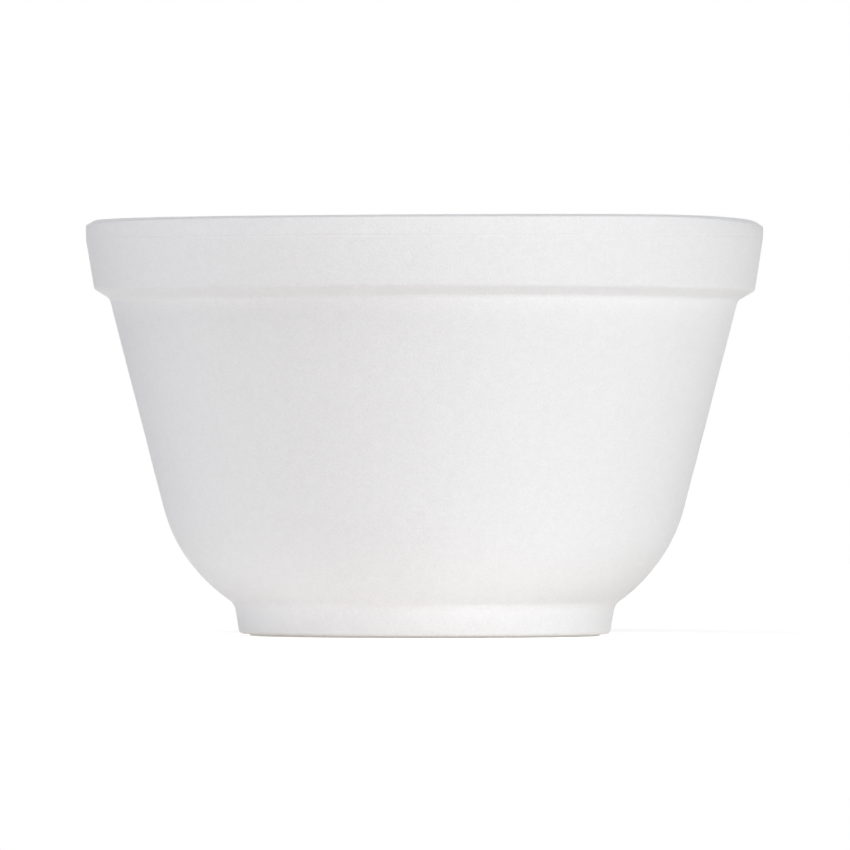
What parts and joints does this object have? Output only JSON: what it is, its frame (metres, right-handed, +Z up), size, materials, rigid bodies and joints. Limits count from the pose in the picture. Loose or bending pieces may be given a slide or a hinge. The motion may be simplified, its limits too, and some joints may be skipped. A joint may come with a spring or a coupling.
{
  "type": "foam food bowl",
  "caption": "Round disposable bowl moulded in one piece from white foam, with a thick banded rim, a flared wall, a rounded belly and a low foot.",
  "frame": {"origin": "centre of the underside, on the surface that the bowl stands on", "axes": "+Z up along the bowl's axis; the bowl is round, so X and Y are free"},
  "size_m": [0.1142, 0.1142, 0.0704],
  "materials": {
    "foam": "white expanded polystyrene foam, matt, with a fine bead grain"
  },
  "bodies": {
    "root": {"bowl": "foam"}
  },
  "joints": []
}
